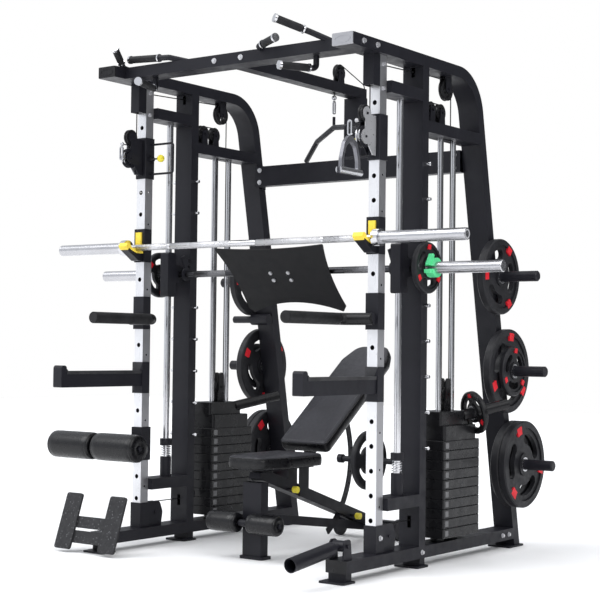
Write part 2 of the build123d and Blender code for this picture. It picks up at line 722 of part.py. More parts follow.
def spotter_arms():
    out = []
    for s in SIDES:
        x = s * HALF
        out.append(collar_on_post(s, 700, 842, 42, 5.5))
        prof = [(-6, 733), (-510, 733, 6), (-510, 828, 14), (-478, 828, 14), (-478, 790), (-6, 790)]
        out.append(prism("x", prof, x - 25, x + 25))
        lin = [(-477, 790.2), (-6, 790.2), (-6, 804), (-470, 804), (-477, 812)]
        out.append(prism("x", lin, x - 27, x + 27))
    return out


def dip_handles():
    out = []
    for s in SIDES:
        x = s * HALF
        out.append(collar_on_post(s, 993, 1142, 42, 5.5))
        path = [(x + s * 22, -32, 1036), (x - s * 125, -32, 1036), (x - s * 125, -425, 1036)]
        out.append(bent(path, 42, 50))
        out.append(Pos(x - s * 125, -425, 1036) * Rot(90, 0, 0) * Cylinder(24, 4))
    return out


def attachment_brackets():
    """Roller bracket on the left upright and landmine clevis on the right rail."""
    x = -HALF
    out = [collar_on_post(-1, 394, 545, 56, 5.5)]
    out.append(box(x - 31, x - 172, 14, 36, 440, 472))
    out.append(prism("x", [(36, 436, 0), (36, 476, 0), (-75, 474, 18), (-112, 462, 10), (-112, 444, 10), (-75, 436, 18)],
                     -812, -804) - rod("x", -820, -790, -90, 453, 22))
    out.append(rod("x", -1079, -537, -90, 453, 22))
    x = HALF
    for k in SIDES:
        ch = [(-245, RAIL_Z1), (-185, RAIL_Z1), (-195, 168, 14), (-238, 168, 14)]
        out.append(prism("x", ch, x + k * 30, x + k * 36) - rod("x", x - 60, x + 60, -217, 142, 16))
    out.append(rod("x", x - 44, x + 44, -217, 142, 16))
    return out


def leg_rollers():
    out = []
    for a, b in ((-801, -541), (-1076, -815)):
        r = rod("x", a, b, -90, 453, 126)
        r = fillet(r.edges().filter_by(GeomType.CIRCLE), 18)
        out.append(r - rod("x", a - 5, b + 5, -90, 453, 22.8))
    return out


def landmine_tube():
    x = HALF
    p, q = Vector(x, -217, 142), Vector(x, -544, 102)
    v = (q - p).normalized()
    eye = rod("x", x - 29, x + 29, -217, 142, 44) - rod("x", x - 40, x + 40, -217, 142, 16.8)
    neck = stick(p + v * 20, p + v * 64, 30) - rod("x", x - 29, x + 29, -217, 142, 43.9)
    tube = stick(p + v * 58, q, 57)
    tube -= stick(p + v * 66, q + v * 5, 51)
    return [eye + neck + tube]


def foot_plate():
    """H shaped tread plate bolted to the front of the left rail."""
    tilt = 19
    pl = Plane(origin=(-HALF, -330, 14), x_dir=(1, 0, 0),
               z_dir=(0, -cos(radians(tilt)), sin(radians(tilt))))
    out = []
    for k in SIDES:
        pad = [(k * 132 - 48, 0, 12), (k * 132 + 48, 0, 12), (k * 132 + 48, 252, 12), (k * 132 - 48, 252, 12)]
        out.append(pl * extrude(outline(pad), 10))
    out.append(pl * Pos(0, 126, -2) * Box(200, 52, 4))
    out.append(pl * Pos(0, 60, -2) * Box(200, 56, 4))
    out.append(box(-HALF - 40, -HALF + 40, -300, RAIL_FRONT - 6, RAIL_Z0 + 4, RAIL_Z1 - 4)
               - pl * Pos(0, 130, 100 - 4) * Box(500, 500, 200))
    return out


# ---- cable trolleys -----------------------------------------------------------------------------
TROL_Z0, TROL_Z1 = 1684, 1872
UP_P, LOW_P = (-75, 1865, 36), (-83, 1770, 44)


def carabiner(p, v, n):
    """Snap link starting at p, hanging along unit vector v, lying in the plane with normal n."""
    pl = Plane(origin=p, x_dir=v, z_dir=n)
    ring = outline([(0, -11, 10.9), (64, -11, 10.9), (64, 11, 10.9), (0, 11, 10.9)])
    hole = outline([(6, -5.5, 5.4), (58, -5.5, 5.4), (58, 5.5, 5.4), (6, 5.5, 5.4)])
    return pl * Pos(0, 0, -3) * extrude(ring - hole, 6)


def trolley(s):
    x = s * HALF
    i = -s
    sl = box(x - 31, x + 31, -6, 56, TROL_Z0, TROL_Z1)
    sl = fillet(sl.edges().filter_by(Axis.Z), 5)
    sl -= box(x - 25.5, x + 25.5, -0.5, 50.5, TROL_Z0 - 1, TROL_Z1 + 1)
    boss = rod("x", x + i * 31, x + i * 48, 25, 1775, 28)
    sl = sl + boss - rod("x", x + i * 20, x + i * 60, 25, 1775, 11)
    out = [sl, box(x - 11, x + 11, -33, -6, 1700, 1862)]
    (y1, z1, r1), (y2, z2, r2) = UP_P, LOW_P
    for k, shrink in ((s, 12), (-s, 14)):
        lobes = Pos(y1, z1) * Circle(r1 + 3 - shrink) + Pos(y2, z2) * Circle(r2 - 1 - shrink)
        lobes += outline([(-10, 1700), (-34, 1700), (y2 - 10, z2), (y1 - 8, z1), (-34, 1862), (-10, 1862)])
        sk = Plane.YZ.offset(x + k * 11.2 if k > 0 else x + k * 11.2 - 3) * lobes
        pl = extrude(sk, 3)
        for y, z in ((y1, z1), (y2, z2)):
            pl -= rod("x", x - 30, x + 30, y, z, 10)
        out.append(pl)
    for y, z in ((y1, z1), (y2, z2)):
        out.append(rod("x", x - 18, x + 18, y, z, 10))
    out.append(pulley(x, y2, z2, r2, 18, 10.2))
    grip = [(x + i * 31, 30, 1842), (x + i * 166, 30, 1842), (x + i * 166, 30, 1706), (x + i * 31, 30, 1706)]
    out.append(bent(grip, 12, 10))
    e = [Vector(x, y1 + 33 + 2.7, z1), Vector(x, y1 + 35.7, z1 - 35.7), Vector(x, -124, z1 - 35.7)]
    out.append(bent(e, 34, CABLE_D))
    out.append(Pos(x, -130, z1 - 35.7) * Sphere(9))
    if s < 0:
        out.append(carabiner((x, -134, z1 - 45.5), (0, 0, -1), (0, 1, 0)))
    return out


def trolley_pulley(s):
    y, z, r = UP_P
    return pulley(s * HALF, y, z, r, 18, 10.6)


def trolley_cable(s):
    """Strand from the top guide down to the trolley."""
    y, z, r = UP_P
    return rod("z", z + 0.3, 2049.7, s * HALF, -37.5 + 1.5, CABLE_D)


def pull_pin(s):
    x, i = s * HALF, -s
    pin = rod("x", x + i * 26, x + i * 90, 25, 1775, 8)
    knob = Pos(x + i * 96, 25, 1775) * Sphere(17)
    return knob + pin


def stirrup_handle():
    """Snap link, swivel and stirrup handle hanging from the right trolley."""
    x, y, z = HALF, -178, 1826
    out = [carabiner((x, y, z), (0, 0, -1), (0, 1, 0))]
    z0 = z - 66
    left = [(-14, 0, 6), (-44, -26, 38), (-66, -95, 55), (-66, -150, 10)]
    hole = [(-8, -24, 5), (-34, -44, 24), (-50, -95, 45), (-50, -132, 10)]
    bow, window = (outline([(y + a, z0 + b, c) for a, b, c in half]
                           + [(y - a, z0 + b, c) for a, b, c in half[::-1]]) for half in (left, hole))
    out.append(extrude(Plane.YZ.offset(x - 8) * (bow - window), 16))
    out.append(rod("y", y - 76, y + 76, x, z0 - 141, 30) - box(x - 8, x + 8, y - 80, y + 80, z0 - 170, z0 - 100))
    return out


def lat_bar():
    """Ball stop, snap link and wide lat bar under the centre beam, turned in plan."""
    y = LAT_PULLEY[0] - LAT_PULLEY[2] + 3.2
    out = [Pos(0, y, 2092) * Sphere(12)]
    out.append(carabiner((0, y, 2078), (0, 0, -1), (1, 0, 0)))
    dx, dy = 0.8, -0.6
    runs = ((-430, 1846), (-255, 1920), (0, 1952), (255, 1920), (430, 1846))
    bar = bent([(dx * t, y + dy * t, z) for t, z in runs], 40, 25)
    out.append(rod("z", 1964.6, 2002, 0, y, 14))
    out.append(bar)
    return out


# ---- bench --------------------------------------------------------------------------------------
def back_plane():
    a = radians(BACK_ANGLE)
    return Plane(origin=(0, BENCH_HINGE[0], BENCH_HINGE[1]), x_dir=(1, 0, 0), z_dir=(0, -sin(a), cos(a)))


def bench_frame():
    out = []
    out.append(beam("z", 12, 330, 0, 65, 100, 50))
    foot = [(-64, 30, 14), (64, 30, 14), (64, 104, 14), (-64, 104, 14)]
    out.append(prism("z", foot, 0, 12))
    def bar(y0, z0, y1, z1, w, h):
        v = Vector(0, y1 - y0, z1 - z0)
        pl = Plane(origin=(0, (y0 + y1) / 2, (z0 + z1) / 2), x_dir=(1, 0, 0), z_dir=v.normalized())
        return pl * Box(w, h, v.length)
    main = bar(60, 370, 985, 70, 60, 50) - box(-60, 60, 0, 90.1, 0, 331) - box(-60, 60, 940, 1000, 0, 90.1)
    main -= box(-60, 60, -50, 1000, 372, 500)
    out.append(max(main.solids(), key=lambda q: q.volume) - box(-5, 5, 620, 830, 0, 260))
    out.append(beam("x", -160, 160, 965, 65, 50, 50))
    for s in SIDES:
        out.append(rod("x", s * 160, s * 178, 965, 50, 100))
        out.append(box(s * 30, s * 36, 340, 410, 250, 383.6))
    low = bar(90, 175, 930, 62, 40, 40) - box(-60, 60, 0, 90.1, 0, 331) - box(-60, 60, 940, 1000, 0, 90.1)
    low = low - out[2]
    out.append(max(low.solids(), key=lambda q: q.volume) - box(-5, 5, 420, 830, 0, 260))
    out.append(rod("x", -24, 24, -12, 160, 30))
    out.append(box(-20, 20, -12, 40, 150, 170) - rod("x", -24, 24, -12, 160, 30))
    out.append(rod("x", 30.2, 62, 260, 288, 12))
    out.append(rod("x", 62, 84, 260, 288, 30))
    out.append(rod("x", 30.2, 62, 760, 128, 12))
    out.append(rod("x", 62, 84, 760, 128, 30))
    out.append(rod("x", -191, 191, -12, 160, 18) - rod("x", -24, 24, -12, 160, 30))
    return out


def bench_rollers():
    out = []
    for s in SIDES:
        r = rod("x", s * 30, s * 188, -12, 160, 88)
        r = fillet(r.edges().filter_by(GeomType.CIRCLE), 12)
        out.append(r - rod("x", s * 20, s * 200, -12, 160, 18.8))
    return out


def bench_seat():
    """Tapered pad on a steel pan."""
    pad = [(-92, -22, 40), (92, -22, 40), (130, 120, 60), (130, 388, 22), (-130, 388, 22), (-130, 120, 60)]
    cushion = prism("z", pad, 392, 445)
    cushion = fillet(cushion.faces().sort_by(Axis.Z)[-1].edges(), 12)
    pan = prism("z", [(-70, 20, 20), (70, 20, 20), (95, 120, 30), (95, 370, 10), (-95, 370, 10), (-95, 120, 30)], 384, 392)
    return [cushion, pan, box(-26, 26, 96, 300, 372.6, 384)]


def bench_back():
    """Long pad, pan, hinge ears and the drilled adjusting arc."""
    pl = back_plane()
    pad = outline([(-130, 40, 20), (130, 40, 20), (130, 668, 60), (88, 775, 60), (-88, 775, 60), (-130, 668, 60)])
    cushion = extrude(pad, 55)
    cushion = fillet(cushion.faces().sort_by(Axis.Z)[-1].edges(), 12)
    out = [pl * cushion]
    pan = outline([(-90, 60, 10), (90, 60, 10), (90, 640, 30), (-90, 640, 30)])
    out.append(pl * Pos(0, 0, -6) * extrude(pan, 6))
    spine = pl * Pos(0, 330, -22) * Box(40, 560, 32)
    hy, hz = BENCH_HINGE
    arc_c, r0, r1 = (hy, hz - 20), 382, 412
    a0, a1 = -58, BACK_ANGLE - 8
    e = [CenterArc(arc_c, r1, a0, a1 - a0), CenterArc(arc_c, r0, a0, a1 - a0)]
    pa = [(arc_c[0] + r * cos(radians(a)), arc_c[1] + r * sin(radians(a))) for r, a in
          ((r0, a0), (r1, a0), (r1, a1), (r0, a1))]
    arc = make_face(Curve() + [e[0], e[1], Line(pa[0], pa[1]), Line(pa[2], pa[3])])
    for i in range(9):
        a = radians(a0 + 8 + 8 * i)
        arc -= Pos(arc_c[0] + 397 * cos(a), arc_c[1] + 397 * sin(a)) * Circle(6)
    strap = extrude(Plane.YZ.offset(-4) * arc, 8)
    spine = spine - strap
    spine = spine - box(-60, 60, 0, 1200, 0, 0.1)
    out.append(spine)
    out.append(strap)
    return out


# ---- build --------------------------------------------------------------------------------------
NODES = {
    "base_rails": base_rails, "rail_feet": rail_feet, "uprights": uprights,
    "upright_sockets": upright_sockets, "columns": columns, "side_arches": side_arches,
    "crossbeams": crossbeams, "center_beam": center_beam,
    "side_braces": side_braces, "guide_rods": guide_rods, "catch_pins": catch_pins,
    "buffer_springs": buffer_springs, "storage_horns": storage_horns, "stored_plates": stored_plates,
    "frame_bolts": frame_bolts, "end_caps": end_caps, "pulley_brackets": pulley_brackets,
    "frame_cables": frame_cables, "pull_up_handles": pull_up_handles, "handle_grips": handle_grips,
    "stack_plates": stack_plates, "foot_plate": foot_plate, "j_hooks": j_hooks,
    "j_hook_liners": j_hook_liners, "spotter_arms": spotter_arms, "dip_handles": dip_handles,
    "attachment_brackets": attachment_brackets, "leg_rollers": leg_rollers,
    "landmine_tube": landmine_tube, "smith_carriage": smith_carriage, "smith_bar": smith_bar,
    "smith_sleeves": smith_sleeves, "leg_press_plate": leg_press_plate, "smith_weights": smith_weights,
    "barbell_shaft": barbell_shaft, "barbell_sleeves": barbell_sleeves,
    "lat_bar": lat_bar, "stirrup_handle": stirrup_handle, "bench_frame": bench_frame,
    "bench_seat": bench_seat, "bench_back": bench_back, "bench_rollers": bench_rollers,
}
for name, make in NODES.items():
    save(name, make())

for side, s in (("l", -1), ("r", 1)):
    save("stack_head_" + side, stack_head(s))
    save("stack_cable_" + side, stack_cable(s))
    save("trolley_" + side, trolley(s))
    save("trolley_pulley_" + side, trolley_pulley(s))
    save("trolley_cable_" + side, trolley_cable(s))
    save("pull_pin_" + side, pull_pin(s))
    save("arch_pulley_" + side, pulley(s * HALF, *ARCH_PULLEY))

save("brace_pulleys_rear", [pulley(s * HALF, *BRACE_PULLEYS[0]) for s in SIDES])
save("brace_pulleys_front", [pulley(s * HALF, *BRACE_PULLEYS[1]) for s in SIDES])
save("low_pulleys", [pulley(s * HALF, *LOW_PULLEY) for s in SIDES])
save("lat_pulley", pulley(0, *LAT_PULLEY))
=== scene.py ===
import math
import bpy
import bmesh
from mathutils import Matrix, Vector


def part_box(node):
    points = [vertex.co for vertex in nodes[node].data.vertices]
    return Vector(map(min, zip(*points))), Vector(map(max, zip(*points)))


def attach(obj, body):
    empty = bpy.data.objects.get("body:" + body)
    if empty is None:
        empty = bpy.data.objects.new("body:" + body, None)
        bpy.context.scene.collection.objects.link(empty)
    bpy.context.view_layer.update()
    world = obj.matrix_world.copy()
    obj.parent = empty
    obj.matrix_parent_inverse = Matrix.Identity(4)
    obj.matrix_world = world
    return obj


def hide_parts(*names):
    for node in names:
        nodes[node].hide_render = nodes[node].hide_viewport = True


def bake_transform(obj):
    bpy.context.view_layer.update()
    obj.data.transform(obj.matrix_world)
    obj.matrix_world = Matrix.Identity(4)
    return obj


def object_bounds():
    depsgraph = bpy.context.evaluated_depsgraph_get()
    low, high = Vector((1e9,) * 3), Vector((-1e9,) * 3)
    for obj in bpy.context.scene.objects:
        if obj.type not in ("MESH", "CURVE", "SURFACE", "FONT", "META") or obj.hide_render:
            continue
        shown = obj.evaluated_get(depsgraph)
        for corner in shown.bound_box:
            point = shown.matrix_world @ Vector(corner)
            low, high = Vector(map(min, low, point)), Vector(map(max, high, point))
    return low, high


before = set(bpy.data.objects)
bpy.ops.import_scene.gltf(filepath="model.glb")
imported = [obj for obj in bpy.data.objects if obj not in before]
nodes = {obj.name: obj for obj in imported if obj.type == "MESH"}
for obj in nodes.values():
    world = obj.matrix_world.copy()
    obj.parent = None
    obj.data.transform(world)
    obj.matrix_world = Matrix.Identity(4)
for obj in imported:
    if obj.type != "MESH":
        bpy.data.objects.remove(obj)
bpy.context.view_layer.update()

# ---- places, in mm from the middle of the machine, the uprights' front face and the floor ----------
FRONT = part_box("uprights")[0].y
SIDES = (-1, 1)
HALF = 640
POST_FOOT_Y, POST_SLOPE, BEAM_H = 1200, 0.1915, 50
SMITH_Y, SMITH_Z = 254, 1255
BAR_Y, BAR_Z = -42, 1363.5
STORED = {1250: ((345, 38),), 820: ((385, 38), (230, 26)), 390: ((400, 40), (400, 36))}
HINGE_Y, HINGE_Z, BACK_ANGLE = 400, 420, 37
STACK_Z0, STACK_STEP, STACK_N, STACK_HALF_W = 110, 41.5, 10, 88
STACK_LABEL_Y, STACK_PIN_Y = 458, 583
PRESS_TILT = math.radians(41)   # how far the leg-press plate leans back
PRESS_DEPTH = 33.2              # what lies further out than this from the bar's axis is zinc
KNOB_X, KNOB_R = (61.9, 84.1), 15.6
BENCH_KNOBS = ((260, 288), (760, 128))
SMITH_PLATE_X, SMITH_PLATE, HEAD_PLATE = 741, (215, 26), (190, 24)
HORN_OUT, HORN_UP = math.radians(28), math.radians(12)
HORN_ROOT, PLATE_ALONG_HORN = (HALF + 45, 625, 622), 84
SLEEVE_RINGS_X, BAR_END = 709, 1100
# two heights per cable, top and low, passed to strand()
STACK_CABLE, TROLLEY_CABLE = (1894.9, 720), (2049.6, 1866)


def place(x, y, z):
    """Metres in the row frame from millimetres measured off the uprights' front face."""
    return Vector((x / 1000, y / 1000 + FRONT, z / 1000))


def post_mid(z):
    return POST_FOOT_Y - POST_SLOPE * z - BEAM_H / 2 * math.sqrt(1 + POST_SLOPE ** 2)


# ---- materials -------------------------------------------------------------------------------------
class Finish:
    """A Principled material with small helpers for grain, tone and roughness."""

    def __init__(self, name, colour, rough, metal=0.0, coat=0.0, spec=0.5):
        self.m = bpy.data.materials.new(name)
        self.m.use_nodes = True
        self.t = self.m.node_tree
        self.p = self.t.nodes["Principled BSDF"]
        self.p.inputs["Base Color"].default_value = (*colour, 1)
        self.p.inputs["Roughness"].default_value = rough
        self.p.inputs["Metallic"].default_value = metal
        self.p.inputs["Coat Weight"].default_value = coat
        self.p.inputs["Coat Roughness"].default_value = 0.15
        self.p.inputs["Specular IOR Level"].default_value = spec
        self.colour = colour
        self.coord = self.t.nodes.new("ShaderNodeTexCoord").outputs["Object"]

    def node(self, kind, **values):
        n = self.t.nodes.new(kind)
        for k, v in values.items():
            n.inputs[k].default_value = v
        return n

    def stretched(self, sx, sy, sz):
        n = self.t.nodes.new("ShaderNodeMapping")
        n.inputs["Scale"].default_value = (sx, sy, sz)
        self.t.links.new(self.coord, n.inputs["Vector"])
        return n.outputs["Vector"]

    def noise(self, scale, detail=3.0, rough=0.55, coord=None):
        n = self.node("ShaderNodeTexNoise", Scale=scale, Detail=detail, Roughness=rough)
        self.t.links.new(coord or self.coord, n.inputs["Vector"])
        return n.outputs["Fac"]

    def cells(self, scale, edge=False):
        n = self.node("ShaderNodeTexVoronoi", Scale=scale)
        n.feature = "DISTANCE_TO_EDGE" if edge else "F1"
        self.t.links.new(self.coord, n.inputs["Vector"])
        return n.outputs["Distance"]

    def span(self, value, lo, hi, a=0.35, b=0.65):
        n = self.node("ShaderNodeMapRange", **{"From Min": a, "From Max": b, "To Min": lo, "To Max": hi})
        self.t.links.new(value, n.inputs["Value"])
        return n.outputs["Result"]

    def rough(self, value, lo, hi):
        self.t.links.new(self.span(value, lo, hi), self.p.inputs["Roughness"])
        return self

    def tone(self, value, other, a=0.35, b=0.65):
        n = self.t.nodes.new("ShaderNodeMix")
        n.data_type = "RGBA"
        n.inputs["A"].default_value = (*self.colour, 1)
        n.inputs["B"].default_value = (*other, 1)
        self.t.links.new(self.span(value, 0, 1, a, b), n.inputs["Factor"])
        self.t.links.new(n.outputs["Result"], self.p.inputs["Base Color"])
        return self

    def bump(self, value, depth, strength=1.0):
        n = self.node("ShaderNodeBump", Strength=strength, Distance=depth)
        self.t.links.new(value, n.inputs["Height"])
        if self.p.inputs["Normal"].links:
            self.t.links.new(self.p.inputs["Normal"].links[0].from_socket, n.inputs["Normal"])
        self.t.links.new(n.outputs["Normal"], self.p.inputs["Normal"])
        return self

    def math(self, op, a, b=None):
        n = self.t.nodes.new("ShaderNodeMath")
        n.operation = op
        for i, v in enumerate((a, b)):
            if v is None:
                continue
            if isinstance(v, (int, float)):
                n.inputs[i].default_value = v
            else:
                self.t.links.new(v, n.inputs[i])
        return n.outputs[0]


def powder(name, colour, rough=0.42, grain=0.00004, light=1.35):
    f = Finish(name, colour, rough, spec=0.22)
    f.tone(f.noise(5, 5), [c * light for c in colour], 0.3, 0.8)
    f.rough(f.noise(22, 4), rough - 0.06, rough + 0.09)
    return f.bump(f.noise(1300, 2), grain).m


def metal(name, colour, rough, grain=(1, 1, 1), scale=60, shine=1.0):
    f = Finish(name, colour, rough, metal=shine)
    value = f.noise(scale, 4, coord=f.stretched(*grain))
    f.rough(value, max(0.03, rough - 0.03), rough + 0.04)
    f.tone(f.noise(9, 4), [c * 0.93 for c in colour])
    return f.bump(value, 0.000004).m


def rubber(name, colour, rough=0.62, scale=700, depth=0.00008, light=1.9):
    f = Finish(name, colour, rough, spec=0.24)
    f.tone(f.noise(14, 5), [c * light for c in colour])
    f.rough(f.noise(45, 3), rough - 0.08, rough + 0.08)
    return f.bump(f.noise(scale, 3), depth).m


def vinyl(name, colour, rough=0.46):
    f = Finish(name, colour, rough, coat=0.06, spec=0.3)
    f.tone(f.noise(6, 4), [c * 1.35 for c in colour])
    f.rough(f.noise(60, 4), rough - 0.06, rough + 0.1)
    f.bump(f.cells(520, edge=True), 0.00022, 0.7)
    return f.bump(f.noise(7, 3), 0.0012, 0.6).m


def knurled(name, colour, y, z, radius, pitch=1.6):
    """Bare metal with a diamond knurl cut round an axis along x."""
    f = Finish(name, colour, 0.3, metal=1.0)
    s = f.t.nodes.new("ShaderNodeSeparateXYZ")
    f.t.links.new(f.coord, s.inputs[0])
    c = place(0, y, z)
    turn = f.math("ARCTAN2", f.math("SUBTRACT", s.outputs["Z"], c.z), f.math("SUBTRACT", s.outputs["Y"], c.y))
    count = round(2 * math.pi * radius / pitch)
    along = f.math("MULTIPLY", s.outputs["X"], 2 * math.pi * 1000 / pitch)
    round_it = f.math("MULTIPLY", turn, float(count))
    a = f.math("SINE", f.math("ADD", round_it, along))
    b = f.math("SINE", f.math("SUBTRACT", round_it, along))
    f.rough(f.noise(80, 3), 0.26, 0.36)
    f.tone(f.noise(12, 3), [v * 0.8 for v in colour])
    return f.bump(f.math("MINIMUM", a, b), 0.0002, 0.8).m


def tread(name):
    """Stippled anti-slip sheet with paler chips."""
    f = Finish(name, (0.02, 0.02, 0.022), 0.7, spec=0.3)
    chips = f.cells(85)
    f.tone(chips, (0.16, 0.16, 0.17), 0.24, 0.06)
    f.rough(f.noise(50, 3), 0.6, 0.8)
    return f.bump(chips, 0.0011, 0.9).m


BLACK = powder("black_powder_coat", (0.0095, 0.0095, 0.0130))
SMOOTH = powder("smooth_black_plate", (0.007, 0.007, 0.008), 0.45, 0.00002)
GLOSS = powder("cast_gloss_black", (0.008, 0.008, 0.009), 0.28, 0.00005)
SILVER = metal("silver_upright", (0.82, 0.82, 0.84), 0.3, (1, 1, 0.05), 160, 0.75)
CHROME = metal("chrome", (0.64, 0.64, 0.66), 0.13, (1, 1, 0.04), 90)
STEEL = metal("satin_steel", (0.52, 0.52, 0.54), 0.26, (0.06, 1, 1), 140)
# darker copy of the upright silver for the side faces: painted shade on the same steel as the front
SILVER_PAINTED_SHADE = metal("silver_upright_painted_shade", (0.44, 0.44, 0.46), 0.36, (1, 1, 0.05), 160, 0.85)
ZINC = metal("zinc_bolt", (0.62, 0.62, 0.64), 0.34, shine=0.7)
GUARD = metal("bright_guard_plate", (0.60, 0.60, 0.62), 0.3, shine=0.6)
GUNMETAL = metal("gunmetal_bar", (0.055, 0.055, 0.06), 0.3, (0.06, 1, 1), 140)
CAST = metal("cast_aluminium", (0.52, 0.52, 0.54), 0.33)
DARK_CAST = metal("dark_cast_bow", (0.21, 0.21, 0.23), 0.38, shine=0.8)
CABLE = rubber("coated_cable", (0.012, 0.012, 0.013), 0.35, 1500, 0.00003)
RUBBER = rubber("plate_rubber", (0.010, 0.010, 0.012), 0.48, light=1.5)
GRIP = rubber("grip_rubber", (0.009, 0.009, 0.010), 0.55, 420, 0.0002)
NYLON = rubber("pulley_nylon", (0.009, 0.009, 0.010), 0.34, 300, 0.00003)
PAD_LINER = rubber("black_liner", (0.024, 0.024, 0.026), 0.55)
YELLOW = rubber("yellow_liner", (0.86, 0.64, 0.07), 0.4, 300, 0.00005, 1.1)
KNOB = rubber("yellow_knob", (0.80, 0.68, 0.06), 0.28, 200, 0.00003, 1.1)
RED = rubber("red_patch", (0.55, 0.012, 0.022), 0.45, 500, 0.00005, 1.25)
MINT = rubber("mint_clamp", (0.10, 0.62, 0.27), 0.36, 400, 0.00004, 1.2)
LABEL = rubber("grey_label", (0.13, 0.13, 0.135), 0.5, 500, 0.00003, 1.15)
CAP_GREY = metal("grey_cap", (0.46, 0.46, 0.48), 0.35)
VINYL = vinyl("charcoal_vinyl", (0.020, 0.020, 0.025), 0.4)
VINYL_SIDE = vinyl("black_vinyl", (0.0035, 0.0035, 0.0045), 0.3)
THREAD = rubber("seam_thread", (0.07, 0.07, 0.075), 0.7, 900, 0.0001)
TREAD = tread("stippled_tread")
KNURL = knurled("knurled_chrome", (0.70, 0.70, 0.72), BAR_Y, BAR_Z, 14)
SMITH_KNURL = knurled("knurled_smith_bar", (0.20, 0.20, 0.21), SMITH_Y, SMITH_Z, 15)


def paint(name, base, *regions):
    """One material for a node, and others for the faces that a test on the face centre picks, in mm."""
    o = nodes[name]
    me = o.data
    me.materials.clear()
    for m in (base, *(r[1] for r in regions)):
        me.materials.append(m)
    for p in me.polygons:
        p.material_index = 0
        c = p.center
        x, y, z = c.x * 1000, (c.y - FRONT) * 1000, c.z * 1000
        for i, (test, _) in enumerate(regions):
            if test(x, y, z):
                p.material_index = i + 1
                break


def off_axis(y, z, cy, cz):
    return math.hypot(y - cy, z - cz)


def in_front_of_bar(y, z):
    """Distance from the Smith bar's axis along the way the leg-press plate faces."""
    return (SMITH_Y - y) * math.cos(PRESS_TILT) + (SMITH_Z - z) * math.sin(PRESS_TILT)


def on_knob(x, y, z):
    return KNOB_X[0] < x < KNOB_X[1] and any(off_axis(y, z, *k) < KNOB_R for k in BENCH_KNOBS)


for name in nodes:
    paint(name, BLACK)
# the uprights' side faces get the darker silver, which is painted shade
paint("uprights", SILVER,
      (lambda x, y, z: abs(abs(x) - HALF) < 24.8 and 0.2 < y < 49.8, BLACK),
      (lambda x, y, z: abs(abs(x) - HALF) > 24.9, SILVER_PAINTED_SHADE))
paint("guide_rods", CHROME)
paint("catch_pins", CHROME)
paint("buffer_springs", BLACK, (lambda x, y, z: 400.5 < z < 452, CHROME))
paint("stored_plates", RUBBER)
paint("smith_weights", RUBBER, (lambda x, y, z: x > 755.5, MINT))
paint("stack_plates", GLOSS)
paint("smith_bar", GUNMETAL,
      (lambda x, y, z: 571 < abs(x) < 581 and off_axis(y, z, SMITH_Y, SMITH_Z) > 15.5, BLACK),
      (lambda x, y, z: abs(x) < 134 and off_axis(y, z, SMITH_Y, SMITH_Z) > 15.5, BLACK))
paint("smith_sleeves", STEEL)
paint("barbell_sleeves", STEEL)
paint("barbell_shaft", CHROME)
paint("frame_bolts", ZINC)
paint("leg_press_plate", SMOOTH,
      (lambda x, y, z: in_front_of_bar(y, z) > PRESS_DEPTH, ZINC))
paint("j_hook_liners", YELLOW)
paint("spotter_arms", BLACK, (lambda x, y, z: 790.1 < z < 813 and -478 < y < -5.9, PAD_LINER))
paint("dip_handles", BLACK, (lambda x, y, z: y < -110, GRIP), (lambda x, y, z: y < -37, GLOSS))
paint("foot_plate", BLACK, (lambda x, y, z: y < -245, TREAD))
paint("end_caps", NYLON, (lambda x, y, z: x > 500 and z > 2000, CAP_GREY))
for side, s in zip("lr", SIDES):
    paint("pull_pin_" + side, STEEL, (lambda x, y, z: abs(x) < HALF - 78, KNOB))
    paint("stack_head_" + side, GLOSS)
    paint("arch_pulley_" + side, NYLON)
    paint("trolley_pulley_" + side, NYLON)
    paint("trolley_" + side, BLACK,
          (lambda x, y, z: 650.5 < s * x < 656 and y < -7, GUARD), (lambda x, y, z: y < -120, CAST))
for name in ("brace_pulleys_rear", "brace_pulleys_front", "low_pulleys", "lat_pulley"):
    paint(name, NYLON)
paint("stirrup_handle", DARK_CAST,
      (lambda x, y, z: z > 1761.5, CHROME), (lambda x, y, z: z < 1632 and abs(x - HALF) > 8.2, CAST))
paint("bench_frame", BLACK, (on_knob, KNOB))
paint("lat_bar", BLACK, (lambda x, y, z: z > 2000, CAST))
paint("frame_cables", CABLE)


# ---- small mesh tools ------------------------------------------------------------------------------
def mesh(name, verts, faces, material, smooth=True):
    me = bpy.data.meshes.new(name)
    me.from_pydata([tuple(v) for v in verts], [], faces)
    bm = bmesh.new()
    bm.from_mesh(me)
    bmesh.ops.recalc_face_normals(bm, faces=bm.faces)
    bm.to_mesh(me)
    bm.free()
    for m in material if isinstance(material, (list, tuple)) else (material,):
        me.materials.append(m)
    for p in me.polygons:
        p.use_smooth = smooth
    o = bpy.data.objects.new(name, me)
    bpy.context.scene.collection.objects.link(o)
    return o


def merged(name, parts, material, smooth=False):
    """Several (verts, faces) shells as one object."""
    verts, faces = [], []
    for v, f in parts:
        n = len(verts)
        verts += v
        faces += [tuple(i + n for i in q) for q in f]
    return mesh(name, verts, faces, material, smooth)


def slab(m, ring, lo, hi):
    """Outline points in mm pushed from lo to hi along the local z of matrix m."""
    n = len(ring)
    verts = [m @ Vector((x / 1000, y / 1000, z / 1000)) for z in (lo, hi) for x, y in ring]
    faces = [tuple(range(n))[::-1], tuple(range(n, 2 * n))]
    faces += [(i, (i + 1) % n, n + (i + 1) % n, n + i) for i in range(n)]
    return verts, faces


def annulus(m, r0, r1, lo, hi, n=48):
    verts = []
    for r, z in ((r0, lo), (r1, lo), (r1, hi), (r0, hi)):
        for i in range(n):
            a = 2 * math.pi * i / n
            verts.append(m @ Vector((r * math.cos(a) / 1000, r * math.sin(a) / 1000, z / 1000)))
    faces = []
    for k in range(4):
        for i in range(n):
            j = (i + 1) % n
            a, b = k * n, (k + 1) % 4 * n
            faces.append((a + i, a + j, b + j, b + i))
    return verts, faces


